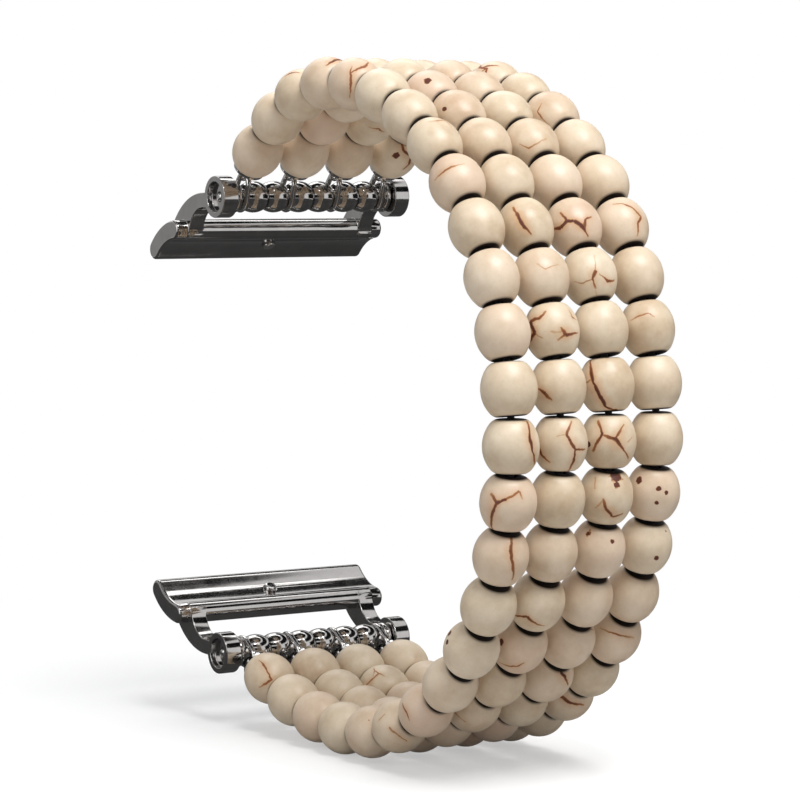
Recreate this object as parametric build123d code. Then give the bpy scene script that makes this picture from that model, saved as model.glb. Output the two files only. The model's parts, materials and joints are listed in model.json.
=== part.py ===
from build123d import *
import os
from math import cos, sin, tan, radians, sqrt

# Bead watch band: four rows of bored stone beads on elastic cords, between two
# slide-in adapters that are joined to the rows by rings on a spring bar.
# Millimetres. +X runs across the rows, +Y from the wrist's underside towards the
# watch, +Z towards twelve o'clock. The origin is the middle of the upper tongue.

# Elastic cord
cord_diameter = 0.8
cord_bend_share = 0.45
cord_grip_play = 0.03
cord_end_play = 0.1

# Sleeve at each cord's end, which fits in the bore of the end bead
sleeve_wall = 0.13
sleeve_play = 0.04
sleeve_length = 1.6
sleeve_diameter = cord_diameter + 2 * (cord_grip_play + sleeve_wall)

# Beads and rows
row_count = 4
row_gap = 0.32
bead_diameter = 6.0
bead_length = 5.74
bead_flat_diameter = 2.8
bead_play = 0.04
bead_closing_share = 1.05
bead_bore = sleeve_diameter + 2 * sleeve_play
row_pitch = bead_diameter + row_gap

# The bead's round side ends at its shoulders, at these shares of its radius and half length
shoulder_radius_share = 0.735
shoulder_height_share = 0.83

# The side is a smooth curve through these places along an arc from shoulder to shoulder
side_point_shares = [0, 0.25, 0.5, 0.75, 1]

# Rest curve of the band, in the YZ plane. A heading is an angle from +Y towards +Z.
# The curve has five stretches: how many gaps between beads, and the angle at each gap.
gap_counts = [4, 6, 5, 7, 3]
gap_angles = [13.6, 9.4, 8.3, 10.5, 6.8]
upper_ring_heading_angle = 120.0
first_bead_heading_angle = 135.0
lower_ring_heading_angle = 380.0

# Spring bar
bar_diameter = 2.2
bar_wall = 0.3
bar_end_wall = 0.5
bar_side_play = 0.2
pin_clearance = 0.05
tip_diameter = 1.1
tip_collar_length = 0.65
tip_proud = 0.2
tip_dome_share = 0.35
bar_spring_wire = 0.2
bar_spring_play = 0.1
bar_spring_turn_count = 16
bar_bore = bar_diameter - 2 * bar_wall
tip_collar_diameter = bar_bore - 2 * pin_clearance
bar_spring_diameter = bar_bore - bar_spring_wire - 2 * bar_spring_play

# Steel spacers on the bar
spacer_end_wall = 0.35
spacer_bulge = 0.4
spacer_side_play = 0.05
end_spacer_length = 1.07
spacer_bore = bar_diameter + 2 * pin_clearance
spacer_end_diameter = spacer_bore + 2 * spacer_end_wall
spacer_diameter = spacer_end_diameter + 2 * spacer_bulge

# Cap over each row's end bead, with an eye that links it to a ring
ring_wire = 0.7
cap_diameter = 3.8
cap_wall = 0.25
cap_clearance = 0.06
cap_eye_wire = 0.42
cap_eye_play = 0.16
cap_ring_gap = 0.1
cap_eye_radius = (ring_wire + cap_eye_wire) / 2 + cap_eye_play

# Rings round the bar, which hold the caps' eyes clear of the spacers
ring_bar_play = 0.1
ring_far_radius = 0.8
eye_spacer_gap = 0.17
ring_length = spacer_diameter / 2 + eye_spacer_gap + cap_eye_radius + cap_eye_wire / 2

# Adapter: curved tongue, back rib, two arms with eyes, all one casting
tongue_thickness = 2.4
tongue_radius = 7.8
tongue_first_angle = 43.0
tongue_last_angle = 84.0
tongue_end_round = 0.35
tongue_reach = 10.4
tongue_drop = 4.8
tongue_overhang = 1.6
rib_diameter = 2.6
ear_thickness = 2.0
eye_diameter = 5.0
eye_recess_diameter = 3.6
eye_recess_depth = 0.7
arm_outer_radius = 9.4
arm_foot_angle = 27.0
arm_crown = 0.5
arm_crown_reach = 3.0
arm_waist = 1.8

# Lock button inside the tongue
button_diameter = 1.5
button_flange_step = 0.3
button_flange_length = 0.4
button_proud = 0.5
button_lip = 0.4
button_floor = 0.5
button_play = 0.05
button_spring_wire = 0.15
button_spring_diameter = 1.4
button_spring_turn_count = 3
button_flange_diameter = button_diameter + 2 * button_flange_step
button_chamber_depth = tongue_thickness - button_lip - button_floor

overrun = 1.0


def heading_vector(angle):
    return Vector(0, cos(radians(angle)), sin(radians(angle)))


def facing(x, point, angle):
    """Place with local Z along a heading of the YZ plane and local X across the rows."""
    frame = Plane(origin=(x, point.Y, point.Z), x_dir=(1, 0, 0), z_dir=heading_vector(angle))
    return frame.location


def across(radius, first, last):
    """Cylinder along X between two places."""
    return Pos((first + last) / 2, 0, 0) * Rot(0, 90, 0) * Cylinder(radius, last - first)


def bead_outline():
    """Half of a bead's outer outline in the XZ plane, from one flat's edge to the other's."""
    edge = bead_flat_diameter / 2
    end = bead_length / 2
    shoulder = bead_diameter / 2 * shoulder_radius_share
    height = end * shoulder_height_share
    arc = ThreePointArc((shoulder, 0, -height), (bead_diameter / 2, 0, 0), (shoulder, 0, height))
    side = Spline([arc @ share for share in side_point_shares], tangents=(arc % 0, arc % 1))
    upper = TangentArc(side @ 1, (edge, 0, end), tangent=side % 1)
    lower = TangentArc(side @ 0, (edge, 0, -end), tangent=-(side % 0))
    return side, upper, lower


def bead_reach():
    """How far the bead's shoulder is from its centre, at the farthest."""
    upper = bead_outline()[1]
    centre = upper.arc_center
    return centre.length + upper.radius


def half_pitch(turn):
    """From a bead's centre to the middle of a gap, whose flats part at their inner edges."""
    gap = bead_play + bead_flat_diameter * sin(radians(bead_closing_share * turn / 2))
    return (bead_length + gap) / 2


def save(name, solids):
    shape = solids[0] if len(solids) == 1 else Compound(solids)
    export_step(shape, f"parts/{name}.step")


def single(shape):
    return shape.solids()[0]


# Walk along the band from the upper spring bar to the lower one
cap_inner_radius = bead_reach() + cap_clearance
cap_outer_radius = cap_inner_radius + cap_wall
link_length = cap_outer_radius + cap_ring_gap + ring_wire / 2
turns = [turn for count, turn in zip(gap_counts, gap_angles) for _ in range(count)]
row_places = [(row - (row_count - 1) / 2) * row_pitch for row in range(row_count)]

outer_ring_face = row_places[-1] + ring_wire / 2
ear_half_gap = outer_ring_face + 2 * spacer_side_play + end_spacer_length
ear_outer_face = ear_half_gap + ear_thickness
bar_half_length = ear_half_gap - bar_side_play
tongue_middle_angle = (tongue_first_angle + tongue_last_angle) / 2
tongue_centre_y = tongue_reach - tongue_radius * cos(radians(tongue_middle_angle))
tongue_centre_z = -tongue_drop - tongue_radius * sin(radians(tongue_middle_angle))
collar_face = bar_half_length - bar_end_wall - pin_clearance
upper_bar = Vector(0, -tongue_reach, tongue_drop)
upper_link = upper_bar + heading_vector(upper_ring_heading_angle) * ring_length
heading = first_bead_heading_angle
point = upper_link + heading_vector(heading) * link_length
bead_points = [point]
bead_headings = [heading]
gap_points = []
for turn in turns:
    gap_point = point + heading_vector(heading) * half_pitch(turn)
    heading = heading + turn
    point = gap_point + heading_vector(heading) * half_pitch(turn)
    gap_points.append(gap_point)
    bead_points.append(point)
    bead_headings.append(heading)
lower_link = point + heading_vector(heading) * link_length
lower_bar = lower_link + heading_vector(lower_ring_heading_angle) * ring_length


def bead():
    """Bored bead about local Z: a round side, soft shoulders and a flat round each end of its bore."""
    side, upper, lower = bead_outline()
    end = bead_length / 2
    bore = bead_bore / 2
    inside = Polyline(upper @ 1, (bore, 0, end), (bore, 0, -end), lower @ 1)
    outline = [edge for line in (side, upper, lower, inside) for edge in line.edges()]
    return single(revolve(make_face(outline), Axis.Z))


def bead_columns():
    """One node for each column of beads, numbered from the upper end."""
    one = bead()
    for number, (place, angle) in enumerate(zip(bead_points, bead_headings), start=1):
        save(f"bead_column_{number:02d}", [facing(x, place, angle) * one for x in row_places])


def elastic_cords():
    """Each row's cord, straight inside the beads and bent in the gaps."""
    end = cap_inner_radius - cap_eye_wire / 2 - cord_end_play
    first = bead_points[0] - heading_vector(bead_headings[0]) * end
    last = bead_points[-1] + heading_vector(bead_headings[-1]) * end
    route = [first, *gap_points, last]
    runs = [(after - before).length for before, after in zip(route, route[1:])]
    shorter_runs = [min(pair) for pair in zip(runs, runs[1:])]
    radii = [cord_bend_share * run / tan(radians(turn / 2)) for run, turn in zip(shorter_runs, turns)]
    for row, x in enumerate(row_places, start=1):
        path = FilletPolyline(*[(x, p.Y, p.Z) for p in route], radius=radii)
        section = facing(x, first, bead_headings[0]) * Circle(cord_diameter / 2)
        cord = single(sweep(section, path=path))
        print("cord", row, "length", round(path.length, 2), "tightest radius", round(min(radii), 1))
        print("volume over section times length", round(cord.volume / (section.area * path.length), 4))
        save(f"elastic_cord_{row}", [cord])


def tongue():
    """Curved tongue about the spring bar's axis, with its lock chamber."""
    centre = (tongue_centre_y, tongue_centre_z)
    sweep_angle = tongue_last_angle - tongue_first_angle
    arc = CenterArc(centre, tongue_radius, tongue_first_angle, sweep_angle)
    half_length = ear_outer_face + tongue_overhang
    strip = extrude(Plane.YZ * SlotArc(arc, tongue_thickness), half_length, both=True)
    ends = strip.faces().filter_by(Axis.X)
    return fillet(ends.edges(), tongue_end_round)


def lock_place():
    """Mouth of the lock chamber on the tongue's inner face, local Z pointing out of it."""
    angle = tongue_middle_angle
    inward = -heading_vector(angle)
    mouth = Vector(0, tongue_reach, -tongue_drop) + inward * (tongue_thickness / 2)
    return facing(0, mouth, angle + 180)


def lock_chamber():
    mouth = Cylinder(button_diameter / 2 + button_play, button_lip + overrun)
    mouth = Pos(0, 0, (overrun - button_lip) / 2) * mouth
    depth = button_lip + button_chamber_depth
    chamber = Cylinder(button_flange_diameter / 2 + button_play, button_chamber_depth)
    chamber = Pos(0, 0, button_chamber_depth / 2 - depth) * chamber
    return lock_place() * (mouth + chamber)


def arm():
    """One arm about the spring bar's axis, from the tongue over to the eye."""
    waist = arm_crown - arm_waist
    outer_middle = (arm_crown_reach, arm_crown - arm_outer_radius)
    inner_middle = (arm_crown_reach, -tongue_drop)
    outer = CenterArc(outer_middle, arm_outer_radius, arm_foot_angle, 90 - arm_foot_angle)
    inner = CenterArc(inner_middle, tongue_drop + waist, 0, 90)
    outline = outer + Polyline(outer @ 1, (0, arm_crown), (0, waist), inner @ 1)
    outline += inner + Line(inner @ 0, outer @ 0)
    return extrude(Plane.YZ * make_face(outline.edges()), ear_thickness)


def adapter_casting():
    """Whole adapter about the spring bar's axis, for the upper end."""
    rib_y = tongue_centre_y + tongue_radius * cos(radians(tongue_last_angle))
    rib_z = tongue_centre_z + tongue_radius * sin(radians(tongue_last_angle))
    ear = Pos(ear_half_gap, 0, 0) * arm() + across(eye_diameter / 2, ear_half_gap, ear_outer_face)
    pin_hole = tip_diameter / 2 + pin_clearance
    ear -= across(pin_hole, ear_half_gap - overrun, ear_outer_face + overrun)
    ear -= across(eye_recess_diameter / 2, ear_outer_face - eye_recess_depth, ear_outer_face + overrun)
    casting = tongue() + Pos(0, rib_y, rib_z) * across(rib_diameter / 2, -ear_outer_face, ear_outer_face)
    casting += ear
    casting += mirror(ear, Plane.YZ)
    casting -= lock_chamber()
    return single(casting)


def bar_tube():
    """Hollow spring bar with a necked hole at each end for its tips."""
    half = bar_half_length
    tube = across(bar_diameter / 2, -half, half)
    tube -= across(bar_bore / 2, bar_end_wall - half, half - bar_end_wall)
    tube -= across(tip_diameter / 2 + pin_clearance, -half - overrun, half + overrun)
    return single(tube)


def bar_tip():
    """Right-hand tip: collar inside the tube and a domed nose in the ear."""
    nose_end = ear_outer_face - eye_recess_depth + tip_proud
    tip = across(tip_collar_diameter / 2, collar_face - tip_collar_length, collar_face)
    tip += across(tip_diameter / 2, collar_face, nose_end)
    rim = tip.edges().filter_by(GeomType.CIRCLE).sort_by(Axis.X)[-1]
    return single(fillet(rim, tip_dome_share * tip_diameter))


def coil(wire, diameter, turn_count, length):
    """Open coil about local Z from zero to its length, one unbroken wire."""
    climb = length - wire
    path = Helix(climb / turn_count, climb, diameter / 2)
    start = Plane(origin=path @ 0, z_dir=path % 0)
    spring = sweep(start * Circle(wire / 2), path=path, is_frenet=True)
    return Pos(0, 0, wire / 2) * single(spring)


def bar_spring():
    half = collar_face - tip_collar_length - pin_clearance
    spring = coil(bar_spring_wire, bar_spring_diameter, bar_spring_turn_count, 2 * half)
    return Pos(-half, 0, 0) * Rot(0, 90, 0) * spring


def spacer(length):
    """Barrel-shaped steel spacer about local X, centred."""
    half = length / 2
    bore = spacer_bore / 2
    rim = spacer_end_diameter / 2
    outline = ThreePointArc((-half, 0, rim), (0, 0, spacer_diameter / 2), (half, 0, rim))
    outline += Polyline((half, 0, rim), (half, 0, bore), (-half, 0, bore), (-half, 0, rim))
    return single(revolve(make_face(outline.edges()), Axis.X))


def spacers():
    """Two spacers between each two rings, and a short one at each end of the bar."""
    room = row_pitch - ring_wire - 2 * spacer_side_play
    length = (room - 2 * spacer_side_play) / 2
    long_one = spacer(length)
    made = []
    for left in row_places[:-1]:
        middle = left + row_pitch / 2
        step = length / 2 + spacer_side_play
        made += [Pos(middle - step, 0, 0) * long_one, Pos(middle + step, 0, 0) * long_one]
    short_one = spacer(end_spacer_length)
    end_place = outer_ring_face + spacer_side_play + end_spacer_length / 2
    made += [Pos(end_place, 0, 0) * short_one, Pos(-end_place, 0, 0) * short_one]
    return made


def ring():
    """Wire ring round the spring bar, drawn in towards its far end along local Z."""
    near = bar_diameter / 2 + ring_bar_play + ring_wire / 2
    far = ring_far_radius + ring_wire / 2
    reach = ring_length - far
    lean = (near - far) / reach
    rise = sqrt(1 - lean**2)
    near_right = (0, near * rise, near * lean)
    near_left = (0, -near * rise, near * lean)
    far_right = (0, far * rise, reach + far * lean)
    far_left = (0, -far * rise, reach + far * lean)
    near_arc = ThreePointArc(near_left, (0, 0, -near), near_right)
    far_arc = ThreePointArc(far_right, (0, 0, reach + far), far_left)
    path = Wire([near_arc.edge(), Line(near_right, far_right).edge(), far_arc.edge(),
                 Line(far_left, near_left).edge()])
    section = Plane(origin=path @ 0, z_dir=path % 0) * Circle(ring_wire / 2)
    return single(sweep(section, path=path))


def end_cap():
    """Cap over the end bead, with a cord sleeve inside its bore and an eye for the ring."""
    post = cap_outer_radius + overrun
    shell = Sphere(cap_outer_radius) - Sphere(cap_inner_radius)
    shell &= Pos(0, 0, post / 2) * Cylinder(cap_diameter / 2, post)
    top = cap_inner_radius + cap_wall / 2
    bottom = cap_inner_radius - sleeve_length
    cap = shell + Pos(0, 0, (top + bottom) / 2) * Cylinder(sleeve_diameter / 2, top - bottom)
    stop = cap_inner_radius - cap_eye_wire / 2
    mouth = bottom - overrun
    cord_room = cord_diameter / 2 + cord_grip_play
    cap -= Pos(0, 0, (stop + mouth) / 2) * Cylinder(cord_room, stop - mouth)
    eye = Pos(0, 0, link_length) * Rot(90, 0, 0) * Torus(cap_eye_radius, cap_eye_wire / 2)
    return single(cap + eye)


def lock_button():
    """Sprung lock button about the chamber's mouth, its nose standing proud."""
    seat = -button_lip - button_play
    nose_length = button_proud - seat
    nose = Pos(0, 0, seat + nose_length / 2) * Cylinder(button_diameter / 2, nose_length)
    nose = fillet(nose.edges().sort_by(Axis.Z)[-1], button_proud / 2)
    flange = Cylinder(button_flange_diameter / 2, button_flange_length)
    return single(nose + Pos(0, 0, seat - button_flange_length / 2) * flange)


def lock_spring():
    length = button_chamber_depth - button_play - button_flange_length - 2 * button_play
    floor = -button_lip - button_chamber_depth + button_play
    spring = coil(button_spring_wire, button_spring_diameter, button_spring_turn_count, length)
    return Pos(0, 0, floor) * spring


def adapter_end(name, bar, upper):
    """Saves one adapter with all that it holds, mirrored for the lower end."""
    def put(shape):
        turned = shape if upper else mirror(shape, Plane.XY)
        return Pos(0, bar.Y, bar.Z) * turned

    tip = bar_tip()
    save(f"{name}_adapter", [put(adapter_casting())])
    save(f"{name}_spring_bar_tube", [put(bar_tube())])
    save(f"{name}_spring_bar_tip_right", [put(tip)])
    save(f"{name}_spring_bar_tip_left", [put(mirror(tip, Plane.YZ))])
    save(f"{name}_spring_bar_spring", [put(bar_spring())])
    save(f"{name}_bar_spacers", [put(piece) for piece in spacers()])
    save(f"{name}_lock_button", [put(lock_place() * lock_button())])
    save(f"{name}_lock_spring", [put(lock_place() * lock_spring())])


def row_ends():
    """Rings on both spring bars and the capped cord ends that they hold."""
    one_ring = ring()
    one_cap = end_cap()
    lower_back = lower_ring_heading_angle + 180
    upper_back = bead_headings[0] + 180
    save("upper_cord_rings", [facing(x, upper_bar, upper_ring_heading_angle) * one_ring for x in row_places])
    save("lower_cord_rings", [facing(x, lower_bar, lower_back) * one_ring for x in row_places])
    save("upper_end_caps", [facing(x, bead_points[0], upper_back) * one_cap for x in row_places])
    save("lower_end_caps", [facing(x, bead_points[-1], bead_headings[-1]) * one_cap for x in row_places])


os.makedirs("parts", exist_ok=True)
bead_columns()
elastic_cords()
adapter_end("upper", upper_bar, True)
adapter_end("lower", lower_bar, False)
row_ends()
print("lower spring bar at", round(lower_bar.Y, 2), round(lower_bar.Z, 2), "last heading", round(heading, 2))
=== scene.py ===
import json
import random
from math import asin, atan2, cos, hypot, pi, radians, sin, sqrt

import bmesh
import bpy
from mathutils import Matrix, Vector, noise


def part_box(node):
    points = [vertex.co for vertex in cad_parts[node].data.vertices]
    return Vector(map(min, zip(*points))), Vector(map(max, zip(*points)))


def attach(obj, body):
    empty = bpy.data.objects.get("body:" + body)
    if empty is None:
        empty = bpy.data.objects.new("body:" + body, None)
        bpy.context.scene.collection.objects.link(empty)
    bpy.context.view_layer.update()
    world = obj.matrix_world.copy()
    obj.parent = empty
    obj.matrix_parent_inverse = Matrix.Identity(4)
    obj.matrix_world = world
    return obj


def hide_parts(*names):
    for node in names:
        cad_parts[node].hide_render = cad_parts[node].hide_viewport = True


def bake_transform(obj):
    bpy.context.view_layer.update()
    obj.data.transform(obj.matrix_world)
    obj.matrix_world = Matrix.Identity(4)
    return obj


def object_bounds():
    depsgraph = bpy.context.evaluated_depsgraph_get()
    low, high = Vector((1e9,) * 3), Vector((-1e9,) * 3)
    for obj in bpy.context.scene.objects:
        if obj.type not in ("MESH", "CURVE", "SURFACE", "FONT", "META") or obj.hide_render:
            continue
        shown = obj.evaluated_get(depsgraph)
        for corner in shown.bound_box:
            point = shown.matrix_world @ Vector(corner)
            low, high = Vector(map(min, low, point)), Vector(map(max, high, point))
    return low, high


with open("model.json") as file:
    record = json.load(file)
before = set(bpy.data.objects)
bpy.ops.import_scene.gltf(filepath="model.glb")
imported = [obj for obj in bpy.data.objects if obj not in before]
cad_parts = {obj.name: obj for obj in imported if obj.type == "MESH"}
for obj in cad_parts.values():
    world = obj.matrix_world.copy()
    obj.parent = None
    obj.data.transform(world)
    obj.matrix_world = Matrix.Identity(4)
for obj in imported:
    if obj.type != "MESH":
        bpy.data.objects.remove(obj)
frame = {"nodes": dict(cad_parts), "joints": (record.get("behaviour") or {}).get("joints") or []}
cad_low, cad_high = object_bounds()

MM = 0.001

# Beads and rows, as in the solids, but for slightly larger flats and worn edges
ROWS = 4
COLUMNS = 26
ROW_PITCH = 6.32 * MM
BEAD_RADIUS = 3.0 * MM
BEAD_HALF_LENGTH = 2.87 * MM
BEAD_BORE_RADIUS = 0.6 * MM
BEAD_FLAT_RADIUS = 1.55 * MM
SHOULDER_RADIUS_SHARE = 0.735
SHOULDER_HEIGHT_SHARE = 0.83
BORE_CHAMFER = 0.12 * MM
FLAT_ROUND = 0.08 * MM
FLAT_ROUND_DEPTH = 0.02 * MM
BEAD_SEGMENTS = 56
SIDE_STEPS = 20
SHOULDER_STEPS = 9

# How one bead differs from the next
BEAD_SIZE_SHARES = (0.985, 1.02)
BEAD_LENGTH_SHARE = 0.995
BEAD_TILT = radians(0.5)
BEAD_SWELL_SHARE = 0.008
BEAD_SWELL_SCALE = 1.1
LIGHTNESS_SPREAD = 0.08
MOST_PINKNESS = 0.9
PATTERN_SPREAD = 50

# Painted shade on the flats, which ends on the shoulders, and in the bore, for the dark gaps between beads
GAP_SHADE_RADIUS = 1.85 * MM
GAP_SHADE_BORE_SHARE = 1.1
GAP_SHADE_HEIGHT_SHARE = 0.9

# Elastic cord in the gaps, which reaches into the bores on both sides
CORD_RADIUS = 0.4 * MM
CORD_REACH = 1.7 * MM
CORD_STEPS = 12
CORD_SIDES = 14

# Camera, fitted to the beads: where it looks, from how far and how wide
AZIMUTH = -33.18
ELEVATION = 4.73
DISTANCE = 344.8 * MM
AIM = Vector((0, -42.8 * MM, -22.6 * MM))
AIM_PIXEL = (454.1, 439.6)
FOCAL_PIXELS = 3038.6
IMAGE_PIXELS = 800
SENSOR = 36.0
NEAREST_SEEN = 10 * MM
FARTHEST_SEEN = 10000 * MM

# Floor: its glow for the camera, and where it starts and ends fading to white
FLOOR_REACH = 3000 * MM
FLOOR_GLOW = 0.45
FLOOR_NEAR = 60 * MM
FLOOR_FAR = 150 * MM

# Light: azimuth, elevation, distance, size and power of each lamp, and the room's light
LAMPS = {
    "key_lamp": (0, 62, 500 * MM, 250 * MM, 2.6),
    "fill_lamp": (-85, 25, 600 * MM, 500 * MM, 0.6),
    "back_lamp": (150, 55, 600 * MM, 400 * MM, 0.9),
}
ROOM_COLOUR = (0.95, 0.97, 1.0, 1)
ROOM_LIGHT = 0.32

# Cards for the metal to mirror: lowest and highest elevation, first and last azimuth
CARD_DISTANCE = 420 * MM
CARD_STEPS = 12
DARK_CARDS = [(-24, 19, -62, 20), (-24, 19, 48, 120), (27, 50, -168, -95), (27, 50, -60, 8),
              (27, 50, 26, 150), (58, 84, -180, 180)]
GREY_CARDS = [(-24, 19, -180, -93), (-24, 19, 120, 180)]
LOW_CARD_RADIUS = 300 * MM
LOW_CARD_RISE = 0.05 * MM
LOW_CARD_SIDES = 48

# Copies of metal solids: points this near are one, edges this sharp are rounded or kept
JOINED_WITHIN = 0.0005 * MM
FLAT_WITHIN = radians(0.5)
SHARP_FROM = radians(40)
EDGE_ROUND = 0.1 * MM
EDGE_STEPS = 2

# Stone colours
STONE_LIGHT = (0.80, 0.68, 0.52, 1)
STONE_MIDDLE = (0.70, 0.57, 0.41, 1)
STONE_DARK = (0.57, 0.42, 0.27, 1)
STONE_BLUSH = (0.72, 0.49, 0.37, 1)
STONE_GRAIN = (0.55, 0.39, 0.24, 1)
VEIN_HALO = (0.60, 0.30, 0.12, 1)
VEIN_OCHRE = (0.50, 0.26, 0.08, 1)
VEIN_BROWN = (0.28, 0.085, 0.024, 1)
VEIN_DARK = (0.10, 0.022, 0.009, 1)
# painted shade for the bead ends and bores, where the gaps between beads are dark
GAP_SHADE_COLOUR = (0.022, 0.012, 0.008, 1)

# Colours of the cord's cover
CORD_DARK = (0.012, 0.010, 0.010, 1)
CORD_LIGHT = (0.045, 0.038, 0.035, 1)

# Veins and stains on each bead: how many it can have, and half a vein's width in bead radii
VEINS = 12
STAINS = 4
VEIN_WIDTH = 0.07
VEIN_END_SHARE = 0.4
FAR_OFF = 9.0

# Shape of a vein: width without tone and what tone adds, how fast its sides and ends fade
FAINT_WIDTH_SHARE = 0.35
TONE_WIDTH_SHARE = 0.9
VEIN_SIDE_FADE = 1.7
VEIN_END_FADE = 30.0
STAIN_SIDE_FADE = 3.0
VEIN_COVER = 2.6

# Warm halo along a vein: its width in veins' widths, how fast its ends fade, how much it colours
HALO_WIDTHS = 5.0
HALO_END_FADE = 4.0
HALO_COVER = 0.7

# Veins and stains of the beads that have none drawn: how many beads, and lengths in bead radii
VEINED_SHARE = 0.55
STAINED_SHARE = 0.15
VEIN_TONES = (0.3, 0.95)
VEIN_STEPS = (0.25, 0.5)
VEIN_TURN_SHARE = 0.6
STAIN_RADII = (0.07, 0.16)

ACROSS = Vector((1, 0, 0))
LAYERS = [f"vein_{number}" for number in range(VEINS)] + [f"stain_{number}" for number in range(STAINS)]
row_places = [(row - (ROWS - 1) / 2) * ROW_PITCH for row in range(ROWS)]
pivots = {joint["name"]: Vector(joint["pos_m"]) for joint in frame["joints"] if "pos_m" in joint}


def column_name(number):
    return f"bead_column_{number:02d}"


def gap_pivot(number):
    """Middle of the gap after a column, or of the link at either end."""
    if number == 0:
        return pivots["upper_link_bend"]
    if number == COLUMNS:
        return pivots["lower_link_bend"]
    return pivots[f"gap_{number:02d}_bend"]


def bead_place(number):
    """Centre of a column's beads in the YZ plane, and the direction of their bores."""
    low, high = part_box(column_name(number))
    along = (gap_pivot(number) - gap_pivot(number - 1)).normalized()
    return (Vector(low) + Vector(high)) / 2, along


def back_direction(azimuth, elevation):
    """Direction from the band to whatever looks at it from this azimuth and elevation."""
    a, e = radians(azimuth), radians(elevation)
    return Vector((sin(a) * cos(e), -cos(a) * cos(e), sin(e)))


camera_place = AIM + back_direction(AZIMUTH, ELEVATION) * DISTANCE


# Small tools for meshes

def new_object(name, mesh, material):
    """Object for a mesh, with its material."""
    made = bpy.data.objects.new(name, mesh)
    bpy.context.scene.collection.objects.link(made)
    mesh.materials.append(material)
    return made


def mesh_from(name, points, faces):
    """Smooth mesh from points and faces."""
    mesh = bpy.data.meshes.new(name)
    mesh.from_pydata(points, [], faces)
    mesh.update()
    mesh.shade_smooth()
    return mesh


def lathe(profile, segments):
    """Points and faces of a closed profile of (radius, height) turned about Z."""
    points = []
    faces = []
    for step in range(segments):
        angle = 2 * pi * step / segments
        points += [Vector((radius * cos(angle), radius * sin(angle), height)) for radius, height in profile]
    count = len(profile)
    for step in range(segments):
        here = step * count
        there = (step + 1) % segments * count
        for i in range(count):
            j = (i + 1) % count
            faces.append((here + i, there + i, there + j, here + j))
    return points, faces


def arc_points(centre, radius, first, last, steps):
    """Points of an arc in (radius, height), both ends included."""
    turns = [first + (last - first) * i / steps for i in range(steps + 1)]
    return [(centre[0] + radius * cos(a), centre[1] + radius * sin(a)) for a in turns]


def along_frame(centre, along):
    """Matrix with local Z along a direction of the YZ plane and local X across the rows."""
    side = along.cross(ACROSS)
    turn = Matrix((ACROSS, side, along)).transposed().to_4x4()
    return Matrix.Translation(centre) @ turn


# Materials

def node_tree(material):
    material.use_nodes = True
    tree = material.node_tree
    return tree, tree.nodes["Principled BSDF"]


def add(tree, kind, **settings):
    """New shader node, with settings by attribute name and input values by socket name."""
    made = tree.nodes.new(kind)
    for name, value in settings.items():
        if name == "inputs":
            for socket, given in value.items():
                made.inputs[socket].default_value = given
        else:
            setattr(made, name, value)
    return made


def ramp(tree, factor, stops):
    """Colour ramp over a factor, with its stops as (place, colour)."""
    made = add(tree, "ShaderNodeValToRGB")
    elements = made.color_ramp.elements
    elements[0].position, elements[0].color = stops[0]
    elements[1].position, elements[1].color = stops[-1]
    for place, colour in stops[1:-1]:
        elements.new(place).color = colour
    tree.links.new(factor, made.inputs[0])
    return made.outputs[0]


def grey(tone):
    return (tone, tone, tone, 1)


def mix(tree, factor, a, b):
    """Colour mix of two colours or sockets."""
    made = add(tree, "ShaderNodeMix", data_type="RGBA")
    for index, value in ((0, factor), (6, a), (7, b)):
        if isinstance(value, bpy.types.NodeSocket):
            tree.links.new(value, made.inputs[index])
        else:
            made.inputs[index].default_value = value
    return made.outputs[2]


def calc(tree, operation, a, b=0.0, c=0.0, clamp=False):
    """Result of one operation on up to three numbers or sockets."""
    made = add(tree, "ShaderNodeMath", operation=operation, use_clamp=clamp)
    for index, value in enumerate((a, b, c)):
        if isinstance(value, bpy.types.NodeSocket):
            tree.links.new(value, made.inputs[index])
        else:
            made.inputs[index].default_value = value
    return made.outputs[0]


def group_tree(name, inputs, outputs):
    """Empty node group with its inputs as (label, kind, value) and its outputs as (label, kind)."""
    tree = bpy.data.node_groups.new(name, "ShaderNodeTree")
    for label, kind, value in inputs:
        socket = tree.interface.new_socket(label, in_out="INPUT", socket_type=kind)
        if value is not None:
            socket.default_value = value
    for label, kind in outputs:
        tree.interface.new_socket(label, in_out="OUTPUT", socket_type=kind)
    return tree, tree.nodes.new("NodeGroupInput"), tree.nodes.new("NodeGroupOutput")


def place_group(tree, group, **values):
    """A node group in a material, with its values or sockets by label."""
    made = tree.nodes.new("ShaderNodeGroup")
    made.node_tree = group
    for label, value in values.items():
        socket = made.inputs[label]
        if isinstance(value, bpy.types.NodeSocket):
            tree.links.new(value, socket)
        else:
            socket.default_value = value
    return made


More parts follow.
